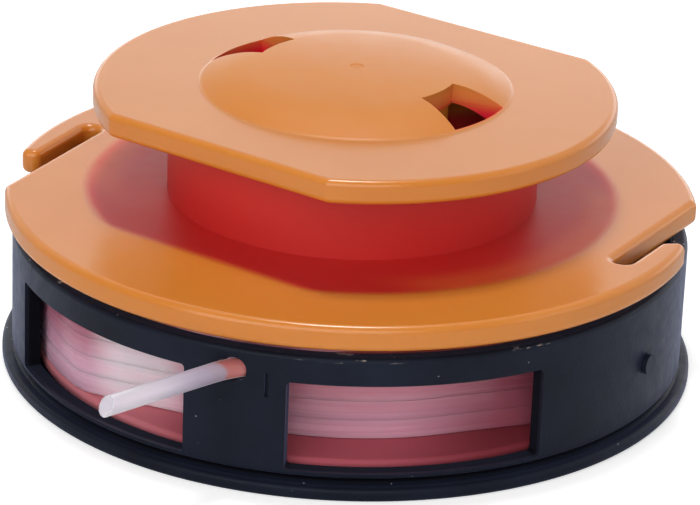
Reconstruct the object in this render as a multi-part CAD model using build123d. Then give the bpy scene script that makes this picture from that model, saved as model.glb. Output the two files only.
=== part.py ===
from build123d import *
import os
from math import acos, asin, cos, degrees, pi, radians, sin, tan

# Trimmer line spool: a dark round casing with windows and one eyelet, a bright reel
# with a push knob that turns in it, and a wound cutting line whose end leaves the eyelet.
# Millimetres. The axis of the reel is Z, the base lies on Z = 0, and the eyelet faces -Y.
# Angles round the wall are counted from -Y towards +X.

# Cutting line
line_diameter = 2.0
line_gap = 0.3
turn_pitch = 2.05
winding_seat_gap = 0.1
winding_inset = 5.7
winding_tight_angles = (-10.0, 70.0)
winding_spread_gap = 0.8
winding_spread_end = -150.0
winding_spread_round = 12.0
winding_return_round = 20.0
spread_rows = 4
row_edge_round = 0.95
row_insets = (0.0, 0.15, 0.05, 0.2, 0.1, 0.0)

# Casing
wall_radius = 35.7
wall_thickness = 1.7
casing_height = 15.0
floor_thickness = 1.2
rim_bevel = 0.5
base_bead_stand_out = 1.05
base_bead_height = 1.4
base_bead_round = 0.45
groove_height = 0.8
groove_depth = 0.9
window_sill_height = 2.6
window_height = 9.5
window_near_angle = 8.6
window_far_angle = 51.2
window_corner_round = 0.4
eyelet_height = 12.7
eyelet_radius = 1.3
nub_angle = 77.0
nub_height = 8.0
nub_radius = 1.1
nub_stand_out = 0.6
tick_angle = 5.4
tick_bottom = 10.2
tick_length = 2.6
tick_width = 0.4
tick_depth = 0.35

# Raised hub of the casing, on which the reel turns
running_gap = 0.08
axial_gap = 0.3
hub_wall = 1.6
hub_height = 13.4
hub_plate = 1.4
hub_hole_radius = 11.0
hub_recess_depth = 9.5
hook_chamber_radius = 14.0

# Reel
barrel_radius = 19.5
barrel_wall = 2.0
lower_flange_clearance = 0.8
lower_flange_thickness = 1.4
top_flange_overhang = 0.8
top_flange_thickness = 2.7
top_flange_round = 0.9
flange_gap = 1.0
root_round = 0.6

# Knob
neck_height = 9.0
knob_radius = 27.4
knob_thickness = 2.55
knob_edge_round = 0.7
knob_corner_round = 1.0
knob_flat_distance = 23.7
knob_flat_angle = 72.4
dome_radius = 16.6
dome_height = 2.2
dome_crown_radius = 10.6
dome_crown_height = 1.95
knob_wall = 2.1

# Two core holes in the dome, with a snap hook under each
hole_inner_radius = 10.6
hole_outer_radius = 16.2
hole_half_angle = 15.5
hook_thickness = 1.6
hook_half_angle = 13.0
hook_inset = 0.2
hook_catch = 1.2
hook_nose = 1.7
hook_lead_in = 1.2

# Drive socket in the middle of the reel
socket_radius = 4.05
socket_wall = 2.1
socket_mouth_height = 14.0
socket_depth = 14.0
rib_thickness = 1.5
rib_height = 5.0

# Line parking slots in the top flange
slot_normal_angles = (170.9, -12.8)
slot_wall_distance = 31.3
slot_width = 2.0
slot_reach = 1.0
slot_mouth_start = 6.8
slot_mouth_angle = 39.0

# Free end of the line: where it leaves the winding, the casing and the eyelet
end_start_angle = -118.0
end_turn_step = 24.0
end_turn_count = 6
end_start_inset = 4.3
end_second_inset = 2.6
end_inward_angle = 40.0
end_inward_inset = 3.0
eyelet_bend_depth = 0.7
eyelet_bend_offset = -0.2
eyelet_bend_radius = 3.0
stub_angle = 30.7
stub_length = 15.9
stub_cut_angle = 25.0

# Heights and radii that follow from the sizes above
wall_inner_radius = wall_radius - wall_thickness
base_bead_radius = wall_radius + base_bead_stand_out
lower_flange_radius = wall_inner_radius - lower_flange_clearance
top_flange_radius = wall_radius + top_flange_overhang
window_top_height = window_sill_height + window_height
hub_radius = barrel_radius - barrel_wall - running_gap
reel_bottom = floor_thickness + axial_gap
winding_bottom = reel_bottom + lower_flange_thickness
top_flange_bottom = casing_height + flange_gap
top_flange_top = top_flange_bottom + top_flange_thickness
knob_bottom = top_flange_top + neck_height
knob_top = knob_bottom + knob_thickness
line_radius = line_diameter / 2
hole_axis_angle = knob_flat_angle - 90

STANDING = (Align.CENTER, Align.CENTER, Align.MIN)


def around(angle, radius, height=0.0):
    """Point at an angle round the wall, counted from -Y towards +X."""
    turn = radians(angle)
    return Vector(radius * sin(turn), -radius * cos(turn), height)


def post(radius, bottom, top):
    """Round post about Z."""
    return Pos(0, 0, bottom) * Cylinder(radius, top - bottom, align=STANDING)


def strip(inside, outside, bottom, top):
    """Flat rectangle between two radii and two heights."""
    return Pos((inside + outside) / 2, (bottom + top) / 2) * Rectangle(outside - inside, top - bottom)


def sector(inner, outer, half_angle, bottom, top, middle_angle):
    """Block between two radii and two planes through Z, about an angle from +X."""
    block = revolve(Plane.XZ * strip(inner, outer, bottom, top), Axis.Z, 2 * half_angle)
    return Rot(0, 0, middle_angle - half_angle) * block


def rod(start, end, radius):
    """Round rod from one point to another."""
    run = end - start
    return extrude(Plane(origin=start, z_dir=run) * Circle(radius), run.length)


def circle_edges(body, radius, height):
    """Edges that are circles of a radius at a height."""
    near = body.edges().filter_by(GeomType.CIRCLE)
    near = near.filter_by(lambda e: abs(e.radius - radius) < 0.01)
    return near.filter_by(lambda e: abs(e.arc_center.Z - height) < 0.01)


# Casing

def casing_profile():
    """Half section of the cup: floor, bead, groove, wall and raised hub."""
    groove_top = base_bead_height + groove_height
    groove_middle = base_bead_height + groove_height / 2
    points = [
        (hub_radius - hub_wall, 0),
        (base_bead_radius, 0),
        (base_bead_radius, base_bead_height),
        (wall_radius, base_bead_height),
        (wall_radius - groove_depth, groove_middle),
        (wall_radius, groove_top),
        (wall_radius, casing_height - rim_bevel),
        (wall_radius - rim_bevel, casing_height),
        (wall_inner_radius, casing_height),
        (wall_inner_radius, floor_thickness),
        (hub_radius, floor_thickness),
        (hub_radius, hub_height),
        (hub_hole_radius, hub_height),
        (hub_hole_radius, hub_height - hub_plate),
        (hook_chamber_radius, hub_height - hub_plate),
        (hook_chamber_radius, hub_recess_depth),
        (hub_radius - hub_wall, hub_recess_depth),
    ]
    face = Plane.XZ * make_face(Polyline(*points, close=True))
    return revolve(face, Axis.Z)


def window_cutter(middle_angle):
    """Radial cutter for one window, with rounded corners, about an angle round the wall."""
    half = (window_far_angle - window_near_angle) / 2
    inside = wall_inner_radius - 1
    outside = base_bead_radius + 1
    block = sector(inside, outside, half, window_sill_height, window_top_height, middle_angle - 90)
    corners = block.edges().filter_by(GeomType.LINE).filter_by(lambda e: abs(e.tangent_at(0).Z) < 0.01)
    return fillet(corners, window_corner_round)


def eyelet_bend():
    """Corner of the line's route, inside the thickness of the wall."""
    return Vector(eyelet_bend_offset, -(wall_radius - eyelet_bend_depth), eyelet_height)


def inward_point():
    """Corner of the line's route inside the wall, before the eyelet."""
    return around(end_inward_angle, wall_inner_radius - end_inward_inset, eyelet_height)


def stub_direction():
    return around(-stub_angle, 1)


def eyelet_cutter():
    """Round hole through the wall, with a slanted way in and out along the line's route."""
    bend = eyelet_bend()
    inside = around(0, wall_inner_radius - 1, eyelet_height)
    outside = around(0, wall_radius + 1, eyelet_height)
    hole = rod(inside, outside, eyelet_radius)
    inner_run = inward_point() - bend
    way_in = rod(bend, bend + inner_run.normalized() * 3 * wall_thickness, line_radius + line_gap)
    way_out = rod(bend, bend + stub_direction() * 2 * wall_thickness, line_radius + line_gap / 2)
    return hole + way_in + way_out


def make_casing():
    body = casing_profile()
    bead_edges = circle_edges(body, base_bead_radius, 0) + circle_edges(body, base_bead_radius, base_bead_height)
    body = fillet(bead_edges, base_bead_round)
    middle = (window_near_angle + window_far_angle) / 2
    for angle in (middle, -middle, 180 - middle, 180 + middle):
        body -= window_cutter(angle)
    body -= eyelet_cutter()
    nub_root = around(nub_angle, wall_radius - wall_thickness / 2, nub_height)
    nub = rod(nub_root, around(nub_angle, wall_radius + nub_stand_out, nub_height), nub_radius)
    nub_rim = nub.edges().filter_by(GeomType.CIRCLE).sort_by(lambda e: e.center().length)[-1]
    body += fillet(nub_rim, nub_stand_out * 0.6)
    tick = Box(tick_width, 2 * tick_depth, tick_length, align=STANDING)
    body -= Rot(0, 0, tick_angle) * Pos(0, -wall_radius, tick_bottom) * tick
    return body


# Reel with its knob

def dome_outline(rim_radius, crown_radius, rim_height, rise, crown_rise):
    """Half outline of the flat-topped dome, from the axis down to its rim."""
    top = (0, rim_height + rise)
    crown = (crown_radius, rim_height + crown_rise)
    ball = (crown_radius ** 2 + (rise - crown_rise) ** 2) / (2 * (rise - crown_rise))
    slope = asin(crown_radius / ball)
    middle = (ball * sin(slope / 2), rim_height + rise - ball * (1 - cos(slope / 2)))
    crown_arc = ThreePointArc(top, middle, crown)
    shoulder = TangentArc(crown, (rim_radius, rim_height), tangent=(cos(slope), -sin(slope)))
    return [crown_arc, shoulder]


def make_dome(rim_radius, crown_radius, rim_height, base_height):
    """Dome solid about Z, standing on a plain round base."""
    edges = dome_outline(rim_radius, crown_radius, rim_height, dome_height, dome_crown_height)
    edges.append(Line((rim_radius, rim_height), (rim_radius, base_height)))
    edges.append(Line((rim_radius, base_height), (0, base_height)))
    edges.append(Line((0, base_height), (0, rim_height + dome_height)))
    return revolve(Plane.XZ * make_face(edges), Axis.Z)


def make_knob_disc():
    """Round disc with two flats and rounded edges."""
    outline = Circle(knob_radius) & Rectangle(4 * knob_radius, 2 * knob_flat_distance)
    disc = extrude(outline, knob_thickness)
    disc = fillet(disc.edges().filter_by(Axis.Z), knob_corner_round)
    rims = disc.edges().filter_by(lambda e: e.center().Z < 0.01 or e.center().Z > knob_thickness - 0.01)
    disc = fillet(rims, knob_edge_round)
    return Pos(0, 0, knob_bottom) * Rot(0, 0, hole_axis_angle) * disc


def reel_profile():
    """Outside of the reel: lower flange, barrel, top flange and neck."""
    points = [
        (0, reel_bottom),
        (lower_flange_radius, reel_bottom),
        (lower_flange_radius, winding_bottom),
        (barrel_radius, winding_bottom),
        (barrel_radius, top_flange_bottom),
        (top_flange_radius, top_flange_bottom),
        (top_flange_radius, top_flange_top),
        (barrel_radius, top_flange_top),
        (barrel_radius, knob_bottom + knob_thickness / 2),
        (0, knob_bottom + knob_thickness / 2),
    ]
    return revolve(Plane.XZ * make_face(Polyline(*points, close=True)), Axis.Z)


def slot_cutter(normal_angle):
    """Slot for parking the line: a narrow cut along a chord, closed by a round end, with a flared mouth."""
    near = slot_wall_distance
    far = slot_wall_distance + slot_width
    middle = (near + far) / 2
    beyond = top_flange_radius
    flare = (beyond - far) * tan(radians(slot_mouth_angle))
    height = 3 * top_flange_thickness
    end_middle = slot_width / 2 - slot_reach
    straight = Pos(middle, (beyond + end_middle) / 2) * Rectangle(slot_width, beyond - end_middle)
    end = Pos(middle, end_middle) * Circle(slot_width / 2)
    mouth_points = [
        (near, slot_mouth_start),
        (far, slot_mouth_start),
        (beyond, slot_mouth_start + flare),
        (beyond, beyond),
        (near, beyond),
    ]
    mouth = make_face(Polyline(*mouth_points, close=True))
    cutter = extrude(straight + end + mouth, height)
    return Pos(0, 0, top_flange_bottom - top_flange_thickness) * Rot(0, 0, normal_angle) * cutter


def make_hook(middle_angle):
    """Snap hook that hangs from the dome and catches under the casing's raised hub."""
    outside = hole_inner_radius - hook_inset
    inside = outside - hook_thickness
    catch_height = hub_height - hub_plate - axial_gap
    tip = hub_hole_radius + hook_catch
    points = [
        (inside, knob_top),
        (inside, catch_height - hook_nose),
        (outside, catch_height - hook_nose),
        (tip, catch_height - hook_nose + hook_lead_in),
        (tip, catch_height),
        (outside, catch_height),
        (outside, knob_top),
    ]
    face = Plane.XZ * make_face(Polyline(*points, close=True))
    hook = revolve(face, Axis.Z, 2 * hook_half_angle)
    return Rot(0, 0, middle_angle - hook_half_angle) * hook


def make_socket():
    """Round boss under the dome with ribs to the neck; its bore takes the drive spindle."""
    boss = post(socket_radius + socket_wall, socket_mouth_height, knob_top)
    rib_length = barrel_radius - barrel_wall / 2 - socket_radius - socket_wall / 2
    for angle in (45, 135, 225, 315):
        hanging = (Align.MIN, Align.CENTER, Align.MAX)
        rib = Box(rib_length, rib_thickness, rib_height + knob_wall, align=hanging)
        rib = Pos(socket_radius + socket_wall / 2, 0, knob_bottom + knob_wall) * rib
        boss += Rot(0, 0, hole_axis_angle + angle) * rib
    return boss - post(socket_radius, socket_mouth_height, socket_mouth_height + socket_depth)


def make_reel():
    body = reel_profile()
    body = fillet(circle_edges(body, barrel_radius, top_flange_top), root_round)
    body = fillet(circle_edges(body, top_flange_radius, top_flange_top), top_flange_round)
    body = fillet(circle_edges(body, top_flange_radius, top_flange_bottom), root_round)
    body = fillet(circle_edges(body, lower_flange_radius, winding_bottom), root_round)
    for angle in slot_normal_angles:
        body -= slot_cutter(angle)
    body += make_knob_disc()
    body += make_dome(dome_radius, dome_crown_radius, knob_top, knob_bottom + knob_thickness / 2)
    hollow_radius = barrel_radius - barrel_wall
    ceiling = knob_top - knob_wall
    body -= post(hollow_radius, reel_bottom, ceiling)
    body -= make_dome(dome_radius - knob_wall / 2, dome_crown_radius, ceiling, ceiling - knob_wall)
    body += make_socket()
    for angle in (hole_axis_angle, hole_axis_angle + 180):
        above = knob_top + 2 * dome_height
        body -= sector(hole_inner_radius, hole_outer_radius, hole_half_angle, knob_bottom, above, angle)
        body += make_hook(angle)
    return body


# Wound line

def winding_outline(inset):
    """Outline of one row of turns: tight on one side, and sprung out towards the wall on the other."""
    tight = wall_inner_radius - winding_inset - inset
    spread = wall_inner_radius - winding_spread_gap - inset
    first, last = winding_tight_angles
    spread_first = first - degrees(acos(tight / spread))
    tight_arc = ThreePointArc(around(last, tight), around((first + last) / 2, tight), around(first, tight))
    run_out = Line(tight_arc @ 1, around(spread_first, spread))
    spread_middle = around((spread_first + winding_spread_end) / 2, spread)
    spread_arc = ThreePointArc(run_out @ 1, spread_middle, around(winding_spread_end, spread))
    return_arc = TangentArc(spread_arc @ 1, tight_arc @ 0, tangent=spread_arc % 1)
    face = make_face([tight_arc, run_out, spread_arc, return_arc])
    face = fillet(face.vertices().sort_by_distance(run_out @ 1)[0], winding_spread_round)
    return fillet(face.vertices().sort_by_distance(tight_arc @ 0)[0], winding_return_round)


def make_row(outline):
    """One row of turns: a flat plate as thick as the line, with half-round edges."""
    plate = extrude(outline, line_diameter)
    rims = plate.edges().filter_by(lambda e: e.center().Z < 0.01 or e.center().Z > line_diameter - 0.01)
    return fillet(rims, row_edge_round)


def make_winding():
    """All rows of turns in one ridged body; the upper rows stay inside the way of the free end."""
    tight_radius = wall_inner_radius - winding_inset
    bottom = winding_bottom + winding_seat_gap
    top = bottom + (len(row_insets) - 1) * turn_pitch + line_diameter
    body = post(tight_radius - line_radius, bottom, top)
    for row, inset in enumerate(row_insets):
        outline = winding_outline(inset) if row < spread_rows else Circle(tight_radius - inset)
        body += Pos(0, 0, bottom + row * turn_pitch) * make_row(outline)
    return body - post(barrel_radius + winding_seat_gap, bottom, top)


def line_end_route():
    """Corners of the line's route, from the winding to the cut end."""
    points = []
    insets = [end_start_inset, end_second_inset] + end_turn_count * [line_radius + line_gap]
    for step, inset in enumerate(insets):
        angle = end_start_angle - step * end_turn_step
        points.append(around(angle, wall_inner_radius - inset, eyelet_height))
    points.append(inward_point())
    points.append(eyelet_bend())
    points.append(eyelet_bend() + stub_direction() * stub_length)
    return points


def corner_radii(points):
    """Radius of each bend: as large as its two runs allow, and small only in the eyelet."""
    radii = []
    for before, corner, after in zip(points, points[1:], points[2:]):
        turn = radians((corner - before).get_angle(after - corner))
        shorter = min((corner - before).length, (after - corner).length)
        radii.append(0.45 * shorter / tan(turn / 2))
    radii[-1] = eyelet_bend_radius
    return radii


def make_line_end():
    points = line_end_route()
    radii = corner_radii(points)
    print("line end bend radii:", [round(r, 1) for r in radii])
    route = FilletPolyline(*points, radius=radii)
    print("line end length:", round(route.length, 1))
    section = Plane(origin=route @ 0, z_dir=route % 0) * Circle(line_radius)
    tube = sweep(section, path=route)
    print("tube volume / section x length:", round(tube.volume / (pi * line_radius ** 2 * route.length), 4))
    rise = radians(stub_cut_angle)
    cut_plane = Plane(origin=points[-1], z_dir=stub_direction() * cos(rise) + Vector(0, 0, sin(rise)))
    return tube - cut_plane * extrude(Circle(2 * line_diameter), line_diameter)


nodes = {
    "casing": make_casing(),
    "reel": make_reel(),
    "wound_line": make_winding(),
    "line_end": make_line_end(),
}

os.makedirs("parts", exist_ok=True)
for name, shape in nodes.items():
    export_step(shape, "parts/" + name + ".step")
    print(name, round(shape.volume, 1))
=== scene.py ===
from math import atan2, cos, degrees, hypot, pi, radians, sin, sqrt, tan

import bmesh
import bpy
from mathutils import Matrix, Vector


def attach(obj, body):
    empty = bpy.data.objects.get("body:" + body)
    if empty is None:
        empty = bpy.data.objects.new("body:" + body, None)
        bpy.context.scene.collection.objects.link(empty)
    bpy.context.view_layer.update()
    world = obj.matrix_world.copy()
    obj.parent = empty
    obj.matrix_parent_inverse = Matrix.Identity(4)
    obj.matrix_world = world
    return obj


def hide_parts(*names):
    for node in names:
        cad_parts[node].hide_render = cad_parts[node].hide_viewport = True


# A trimmer line spool: dark casing with windows, bright reel with a push knob, line and its free end
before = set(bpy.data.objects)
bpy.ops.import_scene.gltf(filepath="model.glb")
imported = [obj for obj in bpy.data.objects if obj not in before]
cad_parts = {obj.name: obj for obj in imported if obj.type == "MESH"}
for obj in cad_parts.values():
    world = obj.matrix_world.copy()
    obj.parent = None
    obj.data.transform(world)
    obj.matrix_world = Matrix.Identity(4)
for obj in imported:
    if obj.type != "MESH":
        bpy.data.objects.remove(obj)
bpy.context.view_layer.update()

# Lengths are in millimetres, and meshes are scaled to metres
MM = 0.001
ROUND_STEPS = 288
FINE_WELD = 0.0005 * MM
WELD = 0.001 * MM
SHARP_ANGLE = 35


# Camera: the view of the photograph

camera_turn = 17.7
camera_elevation = 22.46
camera_distance = 394.6
camera_aim_height = 12.775
camera_roll = 2.26
camera_lens = 191.08
camera_drop = 0.191
camera_side = 0.0097


def make_camera():
    """Camera on its arc round the object, rolled and aimed a little aside."""
    data = bpy.data.cameras.new("camera")
    data.lens = camera_lens
    data.sensor_width = 36.0
    data.clip_start = 0.01
    camera = bpy.data.objects.new("camera", data)
    bpy.context.collection.objects.link(camera)
    facing = Matrix.Rotation(radians(camera_turn), 4, "Z")
    facing = facing @ Matrix.Rotation(radians(90 - camera_elevation), 4, "X")
    place = facing @ Vector((0, 0, camera_distance)) + Vector((0, 0, camera_aim_height))
    aim = Matrix.Rotation(radians(-camera_side), 4, "Y") @ Matrix.Rotation(radians(-camera_drop), 4, "X")
    roll = Matrix.Rotation(radians(camera_roll), 4, "Z")
    camera.matrix_world = Matrix.Translation(place * MM) @ facing @ aim @ roll
    bpy.context.scene.camera = camera


# Sizes, as in the part

line_radius = 1.0
line_gap = 0.3
turn_pitch = 2.05
winding_inset = 5.7
winding_spread_gap = 0.8

wall_radius = 35.7
wall_inner_radius = 34.0
casing_height = 15.0
floor_thickness = 1.2
bead_radius = 36.75
bead_height = 1.4
groove_depth = 0.9
groove_height = 0.8
window_bottom = 2.6
window_top = 12.1
window_near_angle = 8.6
window_far_angle = 51.2
window_corner_round = 0.4
eyelet_height = 12.7
eyelet_radius = 1.3
nub_angle = 77.0
nub_height = 8.0
nub_radius = 1.1
nub_stand_out = 0.6
tick_angle = 5.4
tick_bottom = 10.2
tick_length = 2.6
tick_width = 0.4
tick_depth = 0.35

hub_radius = 17.42
hub_inner_radius = 15.82
hub_height = 13.4
hub_plate = 1.4
hub_hole_radius = 11.0
hub_recess_depth = 9.5
hook_chamber_radius = 14.0

barrel_radius = 19.5
hollow_radius = 17.5
reel_bottom = 1.5
lower_flange_radius = 33.2
winding_bottom = 2.9
top_flange_bottom = 16.0
top_flange_top = 18.7
top_flange_radius = 36.5
top_flange_edge_round = 0.8
knob_bottom = 27.7
knob_top = 30.25
knob_radius = 27.4
knob_flat_distance = 23.7
knob_edge_round = 0.7
hole_axis_angle = -17.6
knob_wall = 2.1
dome_radius = 16.6
dome_rise = 2.2
dome_crown_radius = 10.6
dome_crown_rise = 1.95
gate_mark_radius = 0.7
gate_mark_depth = 0.1
hole_inner_radius = 10.6
hole_outer_radius = 16.2
hole_half_angle = 15.5
hook_half_angle = 13.0
hook_thickness = 1.6
hook_catch_height = 11.7
hook_tip_radius = 12.2
hook_nose = 1.7
hook_lead_in = 1.2
hook_gap = 0.2
socket_radius = 4.05
socket_outer_radius = 6.15
socket_mouth_height = 14.0
socket_top = 28.0
rib_thickness = 1.5
rib_bottom = 22.7

slot_wall_distance = 31.3
slot_width = 2.0
slot_mouth_round = 0.9
slot_end_round = 0.85
rim_gap_after_slot = 2.5
rim_gap_before_mouth = 5.0

# Each slot: the direction it faces, where its mouth begins along it, and how far the mouth slants
slots = ((170.9, 9.1, 15.0), (-12.8, 6.4, 40.0))


# Shapes

def around(angle, radius, height=0.0):
    """Point at an angle round the wall, counted from -Y towards +X."""
    return Vector((radius * sin(radians(angle)), -radius * cos(radians(angle)), height))


def new_object(name, data):
    """Object at the origin, in the scene."""
    piece = bpy.data.objects.new(name, data)
    bpy.context.collection.objects.link(piece)
    return piece


def mesh_piece(name, vertices, faces):
    """Closed mesh with its faces turned outwards; points in millimetres."""
    mesh = bpy.data.meshes.new(name)
    mesh.from_pydata([Vector(v) * MM for v in vertices], [], faces)
    form = bmesh.new()
    form.from_mesh(mesh)
    bmesh.ops.remove_doubles(form, verts=form.verts, dist=FINE_WELD)
    bmesh.ops.recalc_face_normals(form, faces=form.faces)
    form.to_mesh(mesh)
    form.free()
    return new_object(name, mesh)


def rounded(corners, steps=6):
    """Closed outline from (x, y, radius) corners, each radius as an arc."""
    outline = []
    count = len(corners)
    for number, (x, y, radius) in enumerate(corners):
        here = Vector((x, y))
        if radius <= 0:
            outline.append(here)
            continue
        before = Vector(corners[number - 1][:2]) - here
        after = Vector(corners[(number + 1) % count][:2]) - here
        half = before.angle(after) / 2
        reach = min(radius / tan(half), 0.49 * before.length, 0.49 * after.length)
        radius = reach * tan(half)
        centre = here + (before.normalized() + after.normalized()).normalized() * (radius / sin(half))
        start = here + before.normalized() * reach - centre
        end = here + after.normalized() * reach - centre
        sweep = start.angle_signed(end)
        for step in range(steps + 1):
            outline.append(centre + Matrix.Rotation(-sweep * step / steps, 2) @ start)
    return outline


def turned(name, outline, steps=ROUND_STEPS):
    """Solid made by turning a closed (radius, height) outline about Z."""
    vertices = []
    faces = []
    rows = len(outline)
    for step in range(steps):
        turn = 2 * pi * step / steps
        for radius, height in outline:
            vertices.append((radius * cos(turn), radius * sin(turn), height))
    for step in range(steps):
        here = step * rows
        there = (step + 1) % steps * rows
        for row in range(rows):
            nxt = (row + 1) % rows
            faces.append((here + row, there + row, there + nxt, here + nxt))
    return mesh_piece(name, vertices, faces)


def plate(name, outline, bottom, top, edge_round, steps=6):
    """Flat plate with rounded edges all along its outline, slots included."""
    count = len(outline)
    inward = []
    for number, here in enumerate(outline):
        run = (outline[(number + 1) % count] - here).normalized() + (here - outline[number - 1]).normalized()
        run.normalize()
        inward.append(Vector((-run.y, run.x)))
    rings = []
    for step in range(steps + 1):
        turn = pi / 2 * step / steps
        rings.append((edge_round * (1 - sin(turn)), bottom + edge_round * (1 - cos(turn))))
    for inset, height in reversed(rings[:]):
        rings.append((inset, bottom + top - height))
    vertices = []
    for inset, height in rings:
        for here, side in zip(outline, inward):
            place = here + side * inset
            vertices.append((place.x, place.y, height))
    faces = [tuple(reversed(range(count))), tuple(range((len(rings) - 1) * count, len(rings) * count))]
    for ring in range(len(rings) - 1):
        for number in range(count):
            nxt = (number + 1) % count
            here = ring * count
            faces.append((here + number, here + nxt, here + count + nxt, here + count + number))
    return mesh_piece(name, vertices, faces)


def prism(name, outline, bottom, top):
    """Straight block over a flat outline."""
    count = len(outline)
    vertices = [(p[0], p[1], bottom) for p in outline] + [(p[0], p[1], top) for p in outline]
    faces = [tuple(reversed(range(count))), tuple(range(count, 2 * count))]
    for number in range(count):
        nxt = (number + 1) % count
        faces.append((number, nxt, count + nxt, count + number))
    return mesh_piece(name, vertices, faces)


def sector_outline(inner, outer, half_angle, middle_angle, steps=12):
    """Flat outline between two radii and two angles, counted from +X."""
    angles = [middle_angle + half_angle * (2 * step / steps - 1) for step in range(steps + 1)]
    far = [(outer * cos(radians(a)), outer * sin(radians(a))) for a in angles]
    near = [(inner * cos(radians(a)), inner * sin(radians(a))) for a in reversed(angles)]
    return far + near


def rod(name, start, end, radius, steps=32):
    """Round rod between two points."""
    run = (end - start).normalized()
    side = run.orthogonal().normalized()
    other = run.cross(side)
    vertices = []
    for place in (start, end):
        for step in range(steps):
            turn = 2 * pi * step / steps
            vertices.append(place + (side * cos(turn) + other * sin(turn)) * radius)
    faces = [tuple(reversed(range(steps))), tuple(range(steps, 2 * steps))]
    for step in range(steps):
        nxt = (step + 1) % steps
        faces.append((step, nxt, steps + nxt, steps + step))
    return mesh_piece(name, vertices, faces)


def baked_mesh(piece):
    """Plain mesh of a piece with its modifiers applied."""
    return bpy.data.meshes.new_from_object(piece.evaluated_get(bpy.context.evaluated_depsgraph_get()))


def combine(piece, other, operation):
    """Joins or cuts a piece by another, which is used up."""
    step = piece.modifiers.new(operation.lower(), "BOOLEAN")
    step.operation = operation
    step.solver = "MANIFOLD"
    step.object = other
    mesh = baked_mesh(piece)
    piece.modifiers.clear()
    piece.data = mesh
    bpy.data.objects.remove(other)


def finish_surface(piece, material):
    """Welds a mesh, shades it smooth up to the sharp angle, and gives it its material."""
    form = bmesh.new()
    form.from_mesh(piece.data)
    bmesh.ops.remove_doubles(form, verts=form.verts, dist=WELD)
    bmesh.ops.dissolve_degenerate(form, edges=form.edges, dist=WELD)
    form.to_mesh(piece.data)
    form.free()
    piece.data.shade_smooth()
    piece.data.set_sharp_from_angle(angle=radians(SHARP_ANGLE))
    weighted = piece.modifiers.new("weighted normals", "WEIGHTED_NORMAL")
    weighted.keep_sharp = True
    weighted.weight = 50
    mesh = baked_mesh(piece)
    piece.modifiers.clear()
    piece.data = mesh
    piece.data.materials.clear()
    piece.data.materials.append(material)


# Materials

def linear(red, green, blue):
    """Colour as seen on a screen, 0 to 255, in the linear values that shaders take."""
    values = []
    for part in (red, green, blue):
        part = part / 255
        values.append(part / 12.92 if part <= 0.04045 else ((part + 0.055) / 1.055) ** 2.4)
    return (*values, 1.0)


class Nodes:
    """Small help for writing a node tree as sums, products and soft steps."""

    def __init__(self, tree):
        self.nodes = tree.nodes
        self.links = tree.links

    def feed(self, socket, value):
        """Links a socket to another one, or sets it to a plain value."""
        if isinstance(value, bpy.types.NodeSocket):
            self.links.new(value, socket)
        else:
            socket.default_value = value

    def math(self, operation, *values):
        """One step of arithmetic on sockets or plain numbers."""
        node = self.nodes.new("ShaderNodeMath")
        node.operation = operation
        for number, value in enumerate(values):
            self.feed(node.inputs[number], value)
        return node.outputs[0]

    def product(self, first, *others):
        """All values multiplied."""
        for other in others:
            first = self.math("MULTIPLY", first, other)
        return first

    def ease(self, value, low, high, start=0.0, end=1.0):
        """Soft step from one value to another."""
        node = self.nodes.new("ShaderNodeMapRange")
        node.interpolation_type = "SMOOTHSTEP"
        self.feed(node.inputs["Value"], value)
        for socket, number in (("From Min", low), ("From Max", high), ("To Min", start), ("To Max", end)):
            self.feed(node.inputs[socket], number)
        return node.outputs["Result"]


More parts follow.
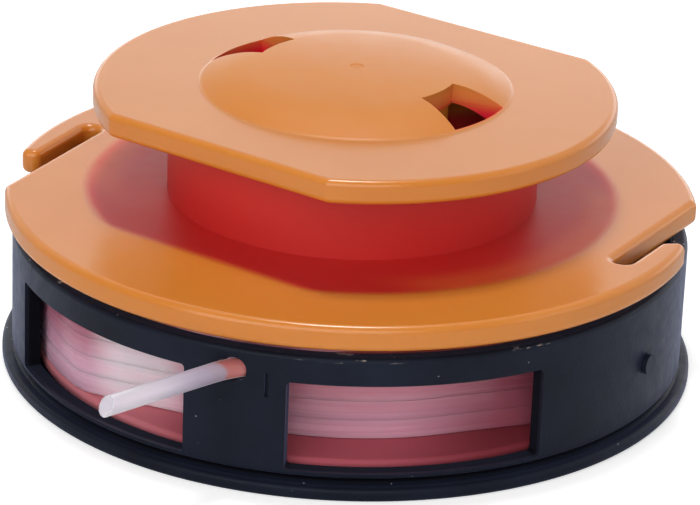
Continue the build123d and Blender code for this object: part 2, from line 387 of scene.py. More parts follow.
class Finish(Nodes):
    """Material that follows the piece's own coordinates."""

    def __init__(self, name):
        self.material = bpy.data.materials.new(name)
        self.material.use_nodes = True
        super().__init__(self.material.node_tree)
        self.shader = self.nodes["Principled BSDF"]
        self.place = self.nodes.new("ShaderNodeTexCoord").outputs["Object"]
        split = self.nodes.new("ShaderNodeSeparateXYZ")
        self.links.new(self.place, split.inputs["Vector"])
        self.across = split.outputs["X"]
        self.depth = split.outputs["Y"]
        self.height = split.outputs["Z"]

    def from_axis(self):
        """Distance of a point from the reel's axis."""
        squares = [self.math("MULTIPLY", way, way) for way in (self.across, self.depth)]
        return self.math("SQRT", self.math("ADD", *squares))

    def from_flat_line(self):
        """Distance of a point from the line through the axis that runs along the knob's flats."""
        flat_angle = radians(hole_axis_angle + 90)
        sideways = self.math("MULTIPLY", self.across, cos(flat_angle))
        return self.math("ABSOLUTE", self.math("MULTIPLY_ADD", self.depth, sin(flat_angle), sideways))

    def step_at(self, length, low, high):
        """Soft step from 0 to 1 between two lengths in millimetres."""
        return self.ease(length, low * MM, high * MM)

    def noise(self, scale, detail):
        """Cloudy noise over the piece."""
        node = self.nodes.new("ShaderNodeTexNoise")
        node.inputs["Scale"].default_value = scale
        node.inputs["Detail"].default_value = detail
        self.links.new(self.place, node.inputs["Vector"])
        return node.outputs["Fac"]

    def streaks(self, upwards, around_reel):
        """Fine level streaks: noise that is stretched round the reel."""
        stretch = self.nodes.new("ShaderNodeMapping")
        stretch.inputs["Scale"].default_value = (around_reel, around_reel, upwards)
        self.links.new(self.place, stretch.inputs["Vector"])
        node = self.nodes.new("ShaderNodeTexNoise")
        node.inputs["Scale"].default_value = 1.0
        node.inputs["Detail"].default_value = 3.0
        self.links.new(stretch.outputs["Vector"], node.inputs["Vector"])
        return node.outputs["Fac"]

    def spread(self, noise, low=0.0, high=1.0):
        """The middle of a noise's range, spread over a range of values."""
        node = self.nodes.new("ShaderNodeMapRange")
        for socket, number in (("From Min", 0.3), ("From Max", 0.7), ("To Min", low), ("To Max", high)):
            node.inputs[socket].default_value = number
        self.links.new(noise, node.inputs["Value"])
        return node.outputs["Result"]

    def mix(self, factor, first, second):
        """Mixes two colours, which are plain or already made."""
        node = self.nodes.new("ShaderNodeMix")
        node.data_type = "RGBA"
        self.feed(node.inputs["Factor"], factor)
        self.feed(node.inputs["A"], first)
        self.feed(node.inputs["B"], second)
        return node.outputs["Result"]

    def bump(self, height, distance, strength):
        """Fine relief, its depth in millimetres."""
        node = self.nodes.new("ShaderNodeBump")
        node.inputs["Distance"].default_value = distance * MM
        node.inputs["Strength"].default_value = strength
        self.links.new(height, node.inputs["Height"])
        self.links.new(node.outputs["Normal"], self.shader.inputs["Normal"])

    def surface(self, colour, roughness, **settings):
        """Links colour and roughness, sets the shader's other inputs and gives the material."""
        self.links.new(colour, self.shader.inputs["Base Color"])
        self.links.new(roughness, self.shader.inputs["Roughness"])
        for name, value in settings.items():
            self.shader.inputs[name.replace("_", " ")].default_value = value
        return self.material


def under_the_knob(finish):
    """1 on neck, knob underside and the flange below the knob, fading out at the knob's outline: the zone
    where the knob's shadow is painted.
    """
    reach = finish.step_at(finish.from_axis(), knob_radius + 1.3, knob_radius - 0.1)
    flat = finish.step_at(finish.from_flat_line(), knob_flat_distance + 2.0, knob_flat_distance + 0.4)
    above = finish.step_at(finish.height, top_flange_top - 0.4, top_flange_top - 0.1)
    below = finish.step_at(finish.height, knob_bottom + 0.5, knob_bottom - 1.3)
    return finish.product(reach, flat, above, below)


def in_the_core_holes(finish):
    """1 deep inside the two holes of the dome."""
    reach = finish.from_axis()
    slant = finish.math("DIVIDE", finish.from_flat_line(), reach)
    between = finish.math("LESS_THAN", slant, sin(radians(hole_half_angle + 0.3)))
    beyond = finish.math("GREATER_THAN", reach, (hole_inner_radius - 0.1) * MM)
    within = finish.math("LESS_THAN", reach, (hole_outer_radius + 0.1) * MM)
    brink = knob_top + dome_crown_rise
    return finish.product(between, beyond, within, finish.step_at(finish.height, brink, brink - 1.0))


def make_orange_plastic():
    """Glossy orange with painted shade: deep red under the knob where its shadow falls, in the core holes and
    inside the casing, with painted light near the brink of the core holes.
    """
    finish = Finish("orange moulded plastic")
    orange = finish.mix(finish.spread(finish.noise(55.0, 2.0)), linear(206, 124, 42), linear(211, 131, 52))
    # Painted shade on the reel inside the casing, as seen through the windows: dusty pink on the left, red in
    # the middle, darkest at the right end.
    left_part = finish.step_at(finish.across, -14, -3)
    window_shade_red = finish.mix(left_part, linear(210, 120, 130), linear(184, 84, 98))
    right_end_shade = finish.step_at(finish.across, 12, 24)
    window_shade_red = finish.mix(right_end_shade, window_shade_red, linear(134, 40, 54))
    # Painted shadow of the knob: crimson by the neck, a lighter red further from the neck.
    beside_neck = finish.step_at(finish.from_axis(), barrel_radius + 3.5, barrel_radius + 7.0)
    beside_neck = finish.product(beside_neck, finish.step_at(finish.from_flat_line(), 20, 14))
    knob_shadow_red = finish.mix(beside_neck, linear(200, 38, 34), linear(214, 82, 40))
    # Painted shade: the shaded reds, for the reel inside the casing below and under the knob above.
    deep = finish.mix(finish.step_at(finish.height, 14, top_flange_bottom), window_shade_red, knob_shadow_red)
    knob_shadow_zone = under_the_knob(finish)
    inside = finish.step_at(finish.height, top_flange_bottom, casing_height)
    colour = finish.mix(finish.math("ADD", knob_shadow_zone, inside), orange, deep)
    # Painted light and shade in the core holes: crimson deep down, bright orange near their brink.
    hole_depth = finish.step_at(finish.height, knob_top - 1.05, knob_top + 0.95)
    hole_light_and_shade = finish.mix(hole_depth, linear(244, 40, 62), linear(232, 132, 62))
    colour = finish.mix(in_the_core_holes(finish), colour, hole_light_and_shade)
    gloss = finish.spread(finish.noise(420.0, 3.0), 0.2, 0.25)
    dome_front = finish.product(finish.step_at(finish.height, knob_top + 0.05, knob_top + 0.35),
                                finish.step_at(finish.depth, 24, -14))
    for place, dullness in ((knob_shadow_zone, 0.25), (inside, 0.6), (dome_front, 0.35)):
        gloss = finish.math("ADD", gloss, finish.math("MULTIPLY", place, dullness))
    finish.bump(finish.noise(900.0, 2.0), 0.01, 0.25)
    return finish.surface(colour, gloss, Subsurface_Weight=0.15, Subsurface_Radius=(1.0, 0.25, 0.08),
                          Subsurface_Scale=0.0015, IOR=1.5)


def make_casing_plastic():
    """Blue-black satin with a fine grain, pale scuffs along its top edge that are partly wear and partly a
    painted edge highlight, pale specks, and dark cut faces painted as shade.
    """
    finish = Finish("dark grained plastic")
    colour = finish.mix(finish.spread(finish.noise(120.0, 4.0)), linear(17, 20, 29), linear(25, 30, 44))
    # Pale scuffs on the top edge: partly wear, partly a painted highlight along the edge.
    edge = finish.step_at(finish.height, casing_height - 0.5, casing_height - 0.35)
    wear_and_highlight_patches = finish.ease(finish.noise(60.0, 1.0), 0.57, 0.68)
    wear_and_highlight_streaks = finish.ease(finish.streaks(2600.0, 420.0), 0.6, 0.66)
    colour = finish.mix(finish.product(edge, wear_and_highlight_patches, wear_and_highlight_streaks), colour, linear(186, 176, 168))
    specks = finish.ease(finish.noise(1900.0, 1.0), 0.78, 0.82)
    colour = finish.mix(specks, colour, linear(150, 150, 155))
    # Painted shade: below the top rim, everything inside the outer skin, the windows' cut faces included, is
    # painted near black and made duller.
    inside = finish.step_at(finish.from_axis(), wall_radius - 0.25, wall_radius - 0.6)
    inside = finish.product(inside, finish.step_at(finish.height, casing_height - 0.8, casing_height - 1.0))
    colour = finish.mix(inside, colour, linear(5, 4, 8))
    satin = finish.spread(finish.noise(700.0, 4.0), 0.36, 0.5)
    satin = finish.math("MULTIPLY_ADD", inside, 0.5, satin)
    finish.bump(finish.noise(2600.0, 2.0), 0.04, 0.5)
    return finish.surface(colour, satin, Specular_IOR_Level=0.14, Specular_Tint=(0.8, 0.88, 1.0, 1.0),
                          Sheen_Weight=0.3, Sheen_Roughness=0.35, Sheen_Tint=(0.45, 0.55, 1.0, 1.0))


def make_wound_nylon():
    """Milky line in its turns, with painted light and shade: rosy close to the reel, standing in for light
    from the orange reel, rosier and darker up the rows, pale and bright where it has sprung away, and painted
    dark at the ends.
    """
    finish = Finish("wound nylon line")
    fine = finish.streaks(1700.0, 30.0)
    broad = finish.spread(finish.streaks(480.0, 18.0))
    # Painted light and shade: the upper rows rosy and darker, the lower rows pale.
    rosy = finish.mix(broad, linear(214, 132, 152), linear(230, 164, 182))
    pale = finish.mix(finish.spread(fine), linear(212, 148, 170), linear(228, 176, 196))
    close = finish.mix(finish.step_at(finish.height, 7.4, 5.2), rosy, pale)
    # Painted light: the sprung-out turns on the left are painted bright and pale.
    airy_painted_light = finish.mix(broad, linear(246, 214, 224), linear(252, 226, 236))
    # Painted shade beside the wall on the left, darker further up.
    wall_shade = finish.step_at(finish.height, 4.5, 11.0)
    painted_wall_shade = finish.mix(wall_shade, linear(216, 164, 186), linear(166, 84, 108))
    reach = finish.from_axis()
    left = finish.step_at(finish.across, 2, -6)
    sprung = finish.product(left, finish.step_at(reach, 28.4, 29.6))
    colour = finish.mix(sprung, close, airy_painted_light)
    beside_wall = finish.product(left, finish.step_at(reach, 31.0, 33.2))
    colour = finish.mix(beside_wall, colour, painted_wall_shade)
    # Painted shade: the turns darken towards the right end.
    right_end_shade = finish.step_at(finish.across, 13, 24)
    colour = finish.mix(right_end_shade, colour, linear(170, 90, 108))
    return finish.surface(colour, finish.spread(fine, 0.22, 0.32), Subsurface_Weight=0.7,
                          Subsurface_Radius=(1.0, 0.7, 0.75), Subsurface_Scale=0.0015, IOR=1.45)


def make_line_nylon():
    """Milky clear line with painted shade: coral where it lies inside the casing in front of the reel, and
    greyer near the eyelet, where the dark casing shows through.
    """
    finish = Finish("milky nylon line")
    cloud = finish.noise(260.0, 2.0)
    reach = finish.from_axis()
    # Painted shade: greyer close to the eyelet, for the dark casing seen through the line.
    milky = finish.mix(finish.step_at(reach, 38.0, 46.0), linear(204, 192, 212), linear(244, 238, 248))
    # Painted shade: coral inside the casing, for the line lying in shade in front of the orange reel.
    coral = finish.mix(finish.spread(cloud), linear(222, 132, 130), linear(232, 150, 146))
    outside = finish.step_at(reach, wall_radius + 1.0, wall_radius + 1.6)
    colour = finish.mix(outside, coral, milky)
    return finish.surface(colour, finish.spread(cloud, 0.16, 0.24), Subsurface_Weight=0.5,
                          Subsurface_Radius=(1.0, 0.9, 1.0), Subsurface_Scale=0.001,
                          Transmission_Weight=0.45, Sheen_Weight=1.0, Sheen_Roughness=0.25, IOR=1.45)


orange_plastic = make_orange_plastic()
casing_plastic = make_casing_plastic()
line_nylon = make_line_nylon()
wound_nylon = make_wound_nylon()


# Casing

def casing_outline():
    """Half section of the cup: floor, bead, groove, wall and raised hub, with its edge rounds."""
    groove_top = bead_height + groove_height
    plate_bottom = hub_height - hub_plate
    return rounded([
        (hub_inner_radius, 0, 0.2),
        (bead_radius, 0, 0.45),
        (bead_radius, bead_height, 0.45),
        (wall_radius, bead_height, 0.1),
        (wall_radius - groove_depth, bead_height + groove_height / 2, 0.1),
        (wall_radius, groove_top, 0.2),
        (wall_radius, casing_height, 0.5),
        (wall_inner_radius, casing_height, 0.2),
        (wall_inner_radius, floor_thickness, 0.3),
        (hub_radius, floor_thickness, 0.3),
        (hub_radius, hub_height, 0.4),
        (hub_hole_radius, hub_height, 0.2),
        (hub_hole_radius, plate_bottom, 0.1),
        (hook_chamber_radius, plate_bottom, 0.1),
        (hook_chamber_radius, hub_recess_depth, 0.1),
        (hub_inner_radius, hub_recess_depth, 0.1),
    ])


def window_cutter(middle_angle):
    """Radial block with rounded corners that opens one window, laid out flat and then bent round."""
    half = radians(window_far_angle - window_near_angle) / 2 * wall_radius
    flat = rounded([
        (-half, window_bottom, window_corner_round),
        (half, window_bottom, window_corner_round),
        (half, window_top, window_corner_round),
        (-half, window_top, window_corner_round),
    ], 5)
    spans = 24
    outline = []
    for number, here in enumerate(flat):
        following = flat[(number + 1) % len(flat)]
        level = abs(following.x - here.x) > half
        parts = spans if level else 1
        outline += [here.lerp(following, part / parts) for part in range(parts)]
    count = len(outline)
    middle_height = (window_bottom + window_top) / 2
    vertices = []
    for radius in (wall_inner_radius - 1.5, bead_radius + 2):
        for place in outline:
            vertices.append(around(middle_angle + degrees(place.x / wall_radius), radius, place.y))
        vertices.append(around(middle_angle, radius, middle_height))
    faces = []
    for number in range(count):
        nxt = (number + 1) % count
        far = count + 1
        faces.append((number, nxt, far + nxt, far + number))
        faces.append((number, nxt, count))
        faces.append((far + number, far + nxt, far + count))
    return mesh_piece("window cutter", vertices, faces)


eyelet_bend = Vector((-0.2, -35.0, eyelet_height))
stub_angle = 30.7
stub_length = 15.83
stub_direction = around(-stub_angle, 1)
end_inward = around(40, 31.0, eyelet_height)
way_in = (end_inward - eyelet_bend).normalized()
lead_in_length = 5.1
lead_out_length = 3.4


def make_casing():
    """Round cup with four windows, the eyelet for the line, a small nub and a tick beside the eyelet."""
    casing = turned("spool_casing", casing_outline())
    middle = (window_near_angle + window_far_angle) / 2
    for angle in (middle, -middle, 180 - middle, 180 + middle):
        combine(casing, window_cutter(angle), "DIFFERENCE")
    inner_end = around(0, wall_inner_radius - 1, eyelet_height)
    outer_end = around(0, wall_radius + 1, eyelet_height)
    cutters = (
        (inner_end, outer_end, eyelet_radius),
        (eyelet_bend, eyelet_bend + way_in * lead_in_length, line_radius + line_gap),
        (eyelet_bend, eyelet_bend + stub_direction * lead_out_length, line_radius + line_gap / 2),
    )
    for start, end, radius in cutters:
        combine(casing, rod("eyelet cutter", start, end, radius), "DIFFERENCE")
    root = around(nub_angle, wall_radius - 0.8, nub_height)
    face = around(nub_angle, wall_radius + nub_stand_out, nub_height)
    combine(casing, rod("nub", root, face, nub_radius), "UNION")
    low = around(tick_angle, wall_radius, tick_bottom)
    half_width = around(tick_angle + 90, tick_width / 2)
    depth = around(tick_angle, tick_depth)
    outline = [low + half_width - depth, low + half_width + depth]
    outline += [low - half_width + depth, low - half_width - depth]
    combine(casing, prism("tick cutter", outline, tick_bottom, tick_bottom + tick_length), "DIFFERENCE")
    finish_surface(casing, casing_plastic)
    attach(casing, "casing_body")
    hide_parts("casing")


# Reel with its knob

def slot_mouth(mouth_start, mouth_angle):
    """Where the slanting mouth of a slot meets the rim, seen along the slot's own direction."""
    far = slot_wall_distance + slot_width
    slope = tan(radians(mouth_angle))
    mouth_x = far
    while hypot(mouth_x, mouth_start + (mouth_x - far) * slope) < top_flange_radius:
        mouth_x += 0.01
    return mouth_x, mouth_start + (mouth_x - far) * slope


def top_flange_outline():
    """Round outline with the two parking slots, which run in from the rim along a chord."""
    near = slot_wall_distance
    far = near + slot_width
    edge = top_flange_radius
    chord_end = sqrt(edge ** 2 - near ** 2)
    rim_steps = 130
    mouths = [slot_mouth(start, slant) for _, start, slant in slots]
    corners = []
    for number, (normal, mouth_start, _) in enumerate(slots):
        turn = Matrix.Rotation(radians(normal), 2)
        mouth_x, mouth_y = mouths[number]
        for x, y, radius in (
            (mouth_x, mouth_y, slot_mouth_round),
            (far, mouth_start, slot_mouth_round),
            (far, -slot_width / 2, slot_width / 2),
            (near, -slot_width / 2, slot_width / 2),
            (near, chord_end, slot_end_round),
        ):
            place = turn @ Vector((x, y))
            corners.append((place.x, place.y, radius))
        start = normal + degrees(atan2(chord_end, near)) + rim_gap_after_slot
        following = (number + 1) % len(slots)
        next_x, next_y = mouths[following]
        end = slots[following][0] + degrees(atan2(next_y, next_x)) - rim_gap_before_mouth
        span = (end - start) % 360
        for step in range(rim_steps + 1):
            angle = radians(start + span * step / rim_steps)
            corners.append((edge * cos(angle), edge * sin(angle), 0))
    return rounded(corners, 8)


def knob_outline():
    """Circle with two flats."""
    arc_steps = 80
    half_flat = sqrt(knob_radius ** 2 - knob_flat_distance ** 2)
    flat_angle = degrees(atan2(knob_flat_distance, half_flat))
    turn = Matrix.Rotation(radians(hole_axis_angle), 2)
    corners = []
    for side in (0, 180):
        for step in range(arc_steps + 1):
            angle = side - flat_angle + 2 * flat_angle * step / arc_steps
            place = turn @ Vector((knob_radius * cos(radians(angle)), knob_radius * sin(radians(angle))))
            corners.append((place.x, place.y, 1.0 if step in (0, arc_steps) else 0))
    return rounded(corners)


def dome_profile(rim_radius, rim_height, base_height):
    """Half section of the flat-topped dome on its round base, with the gate mark in its middle."""
    steps = 16
    top = rim_height + dome_rise
    crown_depth = dome_rise - dome_crown_rise
    ball = (dome_crown_radius ** 2 + crown_depth ** 2) / (2 * crown_depth)
    points = [(0.0, base_height), (rim_radius, base_height), (rim_radius, rim_height)]
    crown_slope = dome_crown_radius / ball
    width = rim_radius - dome_crown_radius
    shoulder = []
    for step in range(1, steps):
        share = step / steps
        drop = share ** 2 * (dome_crown_rise - crown_slope * width) + share * crown_slope * width
        shoulder.append((dome_crown_radius + share * width, rim_height + dome_crown_rise - drop))
    points += reversed(shoulder)
    for step in range(steps - 1):
        radius = dome_crown_radius * (1 - step / steps)
        points.append((radius, top - ball + sqrt(ball ** 2 - radius ** 2)))
    points += [(gate_mark_radius + 0.05, top), (gate_mark_radius - 0.08, top - gate_mark_depth)]
    points += [(gate_mark_radius - 0.4, top - gate_mark_depth), (0.0, top - 0.3 * gate_mark_depth)]
    return points


def make_hook(middle_angle):
    """Snap hook that hangs from the dome."""
    outside = hole_inner_radius - hook_gap
    inside = outside - hook_thickness
    bottom = hook_catch_height - hook_nose
    profile = [
        (inside, knob_top),
        (inside, bottom),
        (outside, bottom),
        (hook_tip_radius, bottom + hook_lead_in),
        (hook_tip_radius, hook_catch_height),
        (outside, hook_catch_height),
        (outside, knob_top),
    ]
    steps = 12
    count = len(profile)
    vertices = []
    for step in range(steps + 1):
        turn = radians(middle_angle + hook_half_angle * (2 * step / steps - 1))
        vertices += [(radius * cos(turn), radius * sin(turn), height) for radius, height in profile]
    faces = [tuple(range(count)), tuple(range(steps * count, (steps + 1) * count))]
    for step in range(steps):
        for row in range(count):
            nxt = (row + 1) % count
            here = step * count
            faces.append((here + row, here + nxt, here + count + nxt, here + count + row))
    return mesh_piece("hook", vertices, faces)


def disc(radius, bottom, top):
    """Half section of a plain round disc."""
    return [(0.0, bottom), (radius, bottom), (radius, top), (0.0, top)]


def make_reel():
    """Barrel, flanges, knob disc and dome in one piece, with hollow, socket, ribs and snap hooks inside."""
    barrel = rounded([
        (hollow_radius - 1, reel_bottom, 0),
        (lower_flange_radius, reel_bottom, 0.3),
        (lower_flange_radius, winding_bottom, 0.5),
        (barrel_radius, winding_bottom, 0.3),
        (barrel_radius, knob_bottom + 1, 0),
        (hollow_radius - 1, knob_bottom + 1, 0),
    ])
    reel = turned("reel_with_knob", barrel)
    for name, outline, bottom, top, edge_round in (
        ("top flange", top_flange_outline(), top_flange_bottom, top_flange_top, top_flange_edge_round),
        ("knob disc", knob_outline(), knob_bottom, knob_top, knob_edge_round),
    ):
        combine(reel, plate(name, outline, bottom, top, edge_round), "UNION")
    combine(reel, turned("dome", dome_profile(dome_radius, knob_top, knob_bottom + 1)), "UNION")
    ceiling = knob_top - knob_wall
    combine(reel, turned("hollow", disc(hollow_radius, reel_bottom - 1, ceiling)), "DIFFERENCE")
    cavity = dome_profile(dome_radius - knob_wall / 2, ceiling, ceiling - 1)
    combine(reel, turned("dome hollow", cavity), "DIFFERENCE")
    boss = turned("boss", disc(socket_outer_radius, socket_mouth_height, knob_top + 1), 96)
    combine(reel, boss, "UNION")
    for angle in (45, 135, 225, 315):
        turn = Matrix.Rotation(radians(hole_axis_angle + angle), 2)
        near = socket_outer_radius - 1
        far = hollow_radius + 1
        half = rib_thickness / 2
        outline = [turn @ Vector(p) for p in ((near, -half), (far, -half), (far, half), (near, half))]
        combine(reel, prism("rib", outline, rib_bottom, ceiling + 0.5), "UNION")
    for angle in (hole_axis_angle, hole_axis_angle + 180):
        outline = sector_outline(hole_inner_radius, hole_outer_radius, hole_half_angle, angle)
        combine(reel, prism("core hole", outline, knob_bottom, knob_top + 5), "DIFFERENCE")
        combine(reel, make_hook(angle), "UNION")
    bore = turned("bore", disc(socket_radius, socket_mouth_height - 1, socket_top), 96)
    combine(reel, bore, "DIFFERENCE")
    finish_surface(reel, orange_plastic)
    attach(reel, "reel_body")
    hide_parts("reel")


# Wound line

winding_layers = 4
turns_per_layer = 6
steps_per_turn = 120
first_layer_radius = barrel_radius + 1.1
tight_radius = wall_inner_radius - winding_inset
spread_radius = wall_inner_radius - winding_spread_gap
spread_rows = 4
tight_angles = (-5.0, 38.0)
run_out_blend = 0.9
return_offset = 1.5
crossing_start = 0.86
winding_clearance = 0.1


class Tree(Nodes):
    """Geometry tree with named inputs."""

    def __init__(self, name):
        self.group = bpy.data.node_groups.new(name, "GeometryNodeTree")
        super().__init__(self.group)
        self.inputs = {}
        self.group.interface.new_socket("Geometry", in_out="INPUT", socket_type="NodeSocketGeometry")
        self.group.interface.new_socket("Geometry", in_out="OUTPUT", socket_type="NodeSocketGeometry")

    def add_inputs(self, sockets):
        """Named inputs with their starting values; the result gives their sockets by name."""
        for name, kind, value in sockets:
            socket = self.group.interface.new_socket(name, in_out="INPUT", socket_type="NodeSocket" + kind)
            if value is not None:
                socket.default_value = value
            self.inputs[name] = socket.identifier
        return self.nodes.new("NodeGroupInput").outputs

    def finish(self, geometry, material):
        """Ends the tree with real meshes in one material."""
        real = self.nodes.new("GeometryNodeRealizeInstances")
        self.links.new(geometry, real.inputs["Geometry"])
        dress = self.nodes.new("GeometryNodeSetMaterial")
        self.links.new(real.outputs["Geometry"], dress.inputs["Geometry"])
        self.links.new(material, dress.inputs["Material"])
        result = self.nodes.new("NodeGroupOutput")
        self.links.new(dress.outputs["Geometry"], result.inputs["Geometry"])


def spread_outline(tree, angle, spread):
    """Radius of the sprung-out turns: a tight stretch with a straight run-out at each end of it."""
    math = tree.math

    def run_out(past):
        """Radius of a straight line that leaves the tight part."""
        slant = math("RADIANS", math("MINIMUM", math("MAXIMUM", past, 0.0), 80.0))
        return math("DIVIDE", tight_radius * MM, math("COSINE", slant))

    left = math("SMOOTH_MIN", run_out(math("SUBTRACT", tight_angles[0], angle)), spread, run_out_blend * MM)
    aside = math("RADIANS", math("SUBTRACT", angle, 180.0))
    across = math("MULTIPLY", math("SINE", aside), return_offset * MM)
    return_radius = spread_radius - return_offset
    chord = math("SQRT", math("SUBTRACT", (return_radius * MM) ** 2, math("MULTIPLY", across, across)))
    back = math("ADD", math("MULTIPLY", math("COSINE", aside), return_offset * MM), chord)
    right = math("SMOOTH_MIN", run_out(math("SUBTRACT", angle, tight_angles[1])), back, run_out_blend * MM)
    return math("MAXIMUM", left, right)


def winding_tree():
    """Line wound in flat rows and layers; the outer layer's lower rows spring out towards the wall."""
    tree = Tree("wound line")
    entry = tree.add_inputs((
        ("Line Radius", "Float", line_radius * MM),
        ("Corner Round", "Float", 0.05 * MM),
        ("First Radius", "Float", first_layer_radius * MM),
        ("Layers", "Int", winding_layers),
        ("Turns Per Layer", "Int", turns_per_layer),
        ("Turn Pitch", "Float", turn_pitch * MM),
        ("Bottom", "Float", (winding_bottom + winding_clearance + line_radius) * MM),
        ("Spread Radius", "Float", spread_radius * MM),
        ("Unevenness", "Float", 0.06 * MM),
        ("Seed", "Int", 4),
        ("Plastic", "Material", None),
    ))
    math = tree.math
    turns = math("MULTIPLY", entry["Layers"], entry["Turns Per Layer"])
    points = tree.nodes.new("GeometryNodeMeshLine")
    tree.links.new(math("MULTIPLY", turns, steps_per_turn), points.inputs["Count"])
    index = tree.nodes.new("GeometryNodeInputIndex").outputs[0]
    progress = math("DIVIDE", index, steps_per_turn)
    part_turn = math("FRACT", progress)
    angle = math("MULTIPLY_ADD", part_turn, 360.0, -180.0)
    outer_radius = math("SUBTRACT", spread_outline(tree, angle, entry["Spread Radius"]), entry["Line Radius"])
    outer_layer = math("SUBTRACT", entry["Layers"], 1.0)
    layer_gap = math("SUBTRACT", (tight_radius - line_radius) * MM, entry["First Radius"])
    layer_gap = math("DIVIDE", layer_gap, outer_layer)

    def turn_place(turn):
        """Height and radius of one whole turn."""
        layer = math("MINIMUM", math("FLOOR", math("DIVIDE", turn, entry["Turns Per Layer"])), outer_layer)
        step = math("SUBTRACT", turn, math("MULTIPLY", layer, entry["Turns Per Layer"]))
        top_row = math("SUBTRACT", entry["Turns Per Layer"], 1.0)
        downward = math("MODULO", layer, 2.0)
        row = math("ABSOLUTE", math("SUBTRACT", math("MULTIPLY", downward, top_row), step))
        height = math("MULTIPLY_ADD", row, entry["Turn Pitch"], entry["Bottom"])
        radius = math("MULTIPLY_ADD", layer, layer_gap, entry["First Radius"])
        outside = math("GREATER_THAN", layer, math("SUBTRACT", outer_layer, 0.5))
        sprung = math("MULTIPLY", outside, math("LESS_THAN", row, spread_rows - 0.5))
        extra = math("MULTIPLY", sprung, math("SUBTRACT", outer_radius, radius))
        return height, math("ADD", radius, extra)

    turn = math("FLOOR", progress)
    this_height, this_radius = turn_place(turn)
    next_height, next_radius = turn_place(math("ADD", turn, 1.0))
    change = tree.ease(part_turn, crossing_start, 1.0)
    height = math("MULTIPLY_ADD", change, math("SUBTRACT", next_height, this_height), this_height)
    radius = math("MULTIPLY_ADD", change, math("SUBTRACT", next_radius, this_radius), this_radius)
    noise = tree.nodes.new("ShaderNodeTexNoise")
    noise.noise_dimensions = "1D"
    noise.inputs["Scale"].default_value = 2.3
    noise.inputs["Detail"].default_value = 1.0
    tree.links.new(math("MULTIPLY_ADD", entry["Seed"], 37.0, progress), noise.inputs["W"])
    wander = math("MULTIPLY", math("SUBTRACT", noise.outputs["Fac"], 1.0), entry["Unevenness"])
    radius = math("ADD", radius, wander)
    way = math("RADIANS", angle)
    spot = tree.nodes.new("ShaderNodeCombineXYZ")
    tree.links.new(math("MULTIPLY", radius, math("SINE", way)), spot.inputs["X"])
    tree.links.new(math("MULTIPLY", radius, math("MULTIPLY", math("COSINE", way), -1.0)), spot.inputs["Y"])
    tree.links.new(height, spot.inputs["Z"])
    put = tree.nodes.new("GeometryNodeSetPosition")
    tree.links.new(points.outputs["Mesh"], put.inputs["Geometry"])
    tree.links.new(spot.outputs["Vector"], put.inputs["Position"])
    curve = tree.nodes.new("GeometryNodeMeshToCurve")
    tree.links.new(put.outputs["Geometry"], curve.inputs["Mesh"])
    upright = tree.nodes.new("GeometryNodeSetCurveNormal")
    upright.mode = "Z_UP"
    tree.links.new(curve.outputs["Curve"], upright.inputs["Curve"])
    square = tree.nodes.new("GeometryNodeCurvePrimitiveQuadrilateral")
    tree.links.new(entry["Turn Pitch"], square.inputs["Width"])
    tree.links.new(entry["Turn Pitch"], square.inputs["Height"])
    section = tree.nodes.new("GeometryNodeFilletCurve")
    section.mode = "POLY"
    section.inputs["Count"].default_value = 5
    tree.links.new(square.outputs["Curve"], section.inputs["Curve"])
    tree.links.new(entry["Corner Round"], section.inputs["Radius"])
    tube = tree.nodes.new("GeometryNodeCurveToMesh")
    tree.links.new(upright.outputs["Curve"], tube.inputs["Curve"])
    tree.links.new(section.outputs["Curve"], tube.inputs["Profile Curve"])
    tube.inputs["Fill Caps"].default_value = True
    tree.finish(tube.outputs["Mesh"], entry["Plastic"])
    return tree


def bake_nodes(name, tree, values):
    """Runs a node tree with its named values and keeps the result as a plain mesh."""
    holder = new_object(name, bpy.data.meshes.new(name))
    step = holder.modifiers.new(name, "NODES")
    step.node_group = tree.group
    for label, value in values.items():
        step[tree.inputs[label]] = value
    mesh = baked_mesh(holder)
    holder.modifiers.clear()
    holder.data = mesh
    return holder


def make_winding():
    """All turns of line on the reel."""
    winding = bake_nodes("wound_turns", winding_tree(), {"Plastic": wound_nylon})
    winding.data.shade_smooth()
    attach(winding, "reel_body")
    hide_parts("wound_line")


# Free end of the line

end_start_angle = -118.0
end_turn_step = 24.0
end_insets = (4.3, 2.6, 1.3, 1.3, 1.3, 1.3, 1.3, 1.3)
bend_reach = 5
stub_spare = 2
stub_cut_angle = 25.0
stub_edge_round = 0.12


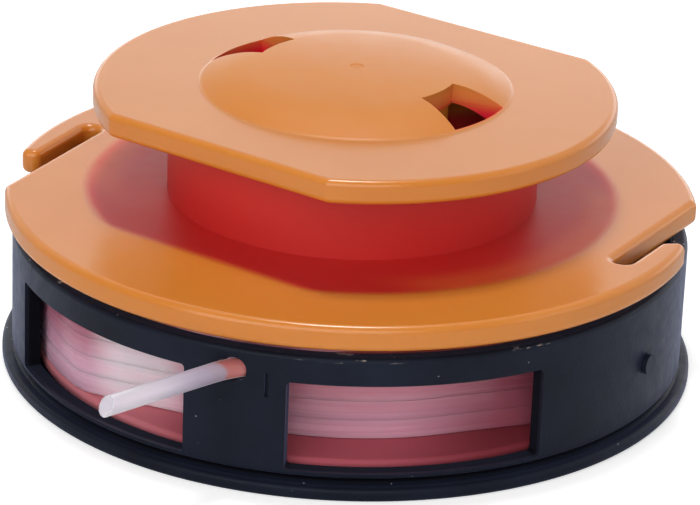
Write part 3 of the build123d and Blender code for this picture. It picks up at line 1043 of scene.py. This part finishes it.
def make_line_end():
    """Last part turn of line, which leaves through the eyelet and ends in a slanting cut."""
    points = []
    for step, inset in enumerate(end_insets):
        angle = end_start_angle - step * end_turn_step
        points.append(around(angle, wall_inner_radius - inset, eyelet_height))
    points += [
        end_inward,
        eyelet_bend + way_in * bend_reach,
        eyelet_bend,
        eyelet_bend + stub_direction * bend_reach,
        eyelet_bend + stub_direction * (stub_length + stub_spare),
    ]
    curve = bpy.data.curves.new("line_end", "CURVE")
    curve.dimensions = "3D"
    curve.bevel_depth = line_radius * MM
    curve.bevel_resolution = 6
    curve.resolution_u = 24
    curve.use_fill_caps = True
    spline = curve.splines.new("NURBS")
    spline.points.add(len(points) - 1)
    for spot, point in zip(spline.points, points):
        spot.co = (*(point * MM), 1.0)
    spline.order_u = 3
    spline.use_endpoint_u = True
    holder = new_object("free_line_end", curve)
    mesh = baked_mesh(holder)
    bpy.data.objects.remove(holder)
    form = bmesh.new()
    form.from_mesh(mesh)
    bmesh.ops.remove_doubles(form, verts=form.verts, dist=FINE_WELD)
    rise = radians(stub_cut_angle)
    tip = eyelet_bend + stub_direction * stub_length
    normal = stub_direction * cos(rise) + Vector((0, 0, sin(rise)))
    everything = form.verts[:] + form.edges[:] + form.faces[:]
    cut = bmesh.ops.bisect_plane(form, geom=everything, plane_co=tip * MM, plane_no=normal, clear_outer=True)
    edges = [e for e in cut["geom_cut"] if isinstance(e, bmesh.types.BMEdge)]
    bmesh.ops.contextual_create(form, geom=edges)
    bmesh.ops.bevel(form, geom=edges, offset=stub_edge_round * MM, segments=2, affect="EDGES")
    bmesh.ops.recalc_face_normals(form, faces=form.faces)
    form.to_mesh(mesh)
    form.free()
    piece = new_object("free_line_end", mesh)
    finish_surface(piece, line_nylon)
    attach(piece, "casing_body")
    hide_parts("line_end")


# Light: a plain pale room with soft lamps

room_strength = 0.25
floor_glow = 0.5
lamp_aim = Vector((0, 0, 0.015))


def make_world():
    """Soft grey light all round, white to the camera and brighter in reflections from behind."""
    world = bpy.data.worlds.new("pale room")
    world.use_nodes = True
    bpy.context.scene.world = world
    room = Nodes(world.node_tree)
    grey = room.nodes["Background"]
    white = room.nodes.new("ShaderNodeBackground")
    for light, strength in ((grey, room_strength), (white, 1.0)):
        light.inputs["Color"].default_value = (1.0, 1.0, 1.0, 1.0)
        light.inputs["Strength"].default_value = strength
    path = room.nodes.new("ShaderNodeLightPath").outputs
    place = room.nodes.new("ShaderNodeTexCoord")
    parts = room.nodes.new("ShaderNodeSeparateXYZ")
    room.links.new(place.outputs["Generated"], parts.inputs["Vector"])
    behind = room.ease(parts.outputs["Y"], -0.2, 0.6, 0.1, 1.0)
    shine = room.math("MULTIPLY", path["Is Glossy Ray"], behind)
    seen = room.math("MAXIMUM", path["Is Camera Ray"], path["Is Transmission Ray"])
    mix = room.nodes.new("ShaderNodeMixShader")
    room.links.new(room.math("MAXIMUM", seen, shine), mix.inputs["Fac"])
    room.links.new(grey.outputs["Background"], mix.inputs[1])
    room.links.new(white.outputs["Background"], mix.inputs[2])
    room.links.new(mix.outputs["Shader"], room.nodes["World Output"].inputs["Surface"])


def make_lamp(name, place, size, power):
    """Soft oblong lamp that faces the object; place and size in metres."""
    data = bpy.data.lights.new(name, "AREA")
    data.shape = "RECTANGLE"
    data.size = size[0]
    data.size_y = size[1]
    data.energy = power
    lamp = bpy.data.objects.new(name, data)
    bpy.context.collection.objects.link(lamp)
    lamp.location = place
    lamp.rotation_euler = (lamp_aim - Vector(place)).to_track_quat("-Z", "Y").to_euler()


def make_floor():
    """Pale floor that looks white to the camera and keeps the object's shadow."""
    size = 3000
    floor = prism("floor", [(-size, -size), (size, -size), (size, size), (-size, size)], -2.0, -0.02)
    finish = Finish("pale floor")
    inputs = finish.shader.inputs
    inputs["Base Color"].default_value = (0.85, 0.85, 0.85, 1.0)
    inputs["Roughness"].default_value = 0.9
    inputs["Specular IOR Level"].default_value = 0.1
    inputs["Emission Color"].default_value = (1.0, 1.0, 1.0, 1.0)
    path = finish.nodes.new("ShaderNodeLightPath").outputs
    seen = finish.math("ADD", path["Is Camera Ray"], path["Is Transmission Ray"])
    finish.links.new(finish.math("MULTIPLY", seen, floor_glow), inputs["Emission Strength"])
    floor.data.materials.append(finish.material)


make_camera()
make_world()
make_lamp("top lamp", (-0.05, 0.09, 0.8), (0.16, 0.16), 2.8)
make_lamp("front lamp", (0.0, -0.62, 0.34), (0.9, 0.5), 3.2)
make_lamp("backdrop lamp", (0.0, 0.8, 0.15), (1.8, 0.3), 1.9)
make_lamp("side lamp", (0.75, -0.05, 0.3), (0.4, 0.4), 0.5)
make_floor()
make_casing()
make_reel()
make_winding()
make_line_end()

bpy.context.scene.view_settings.view_transform = "Standard"
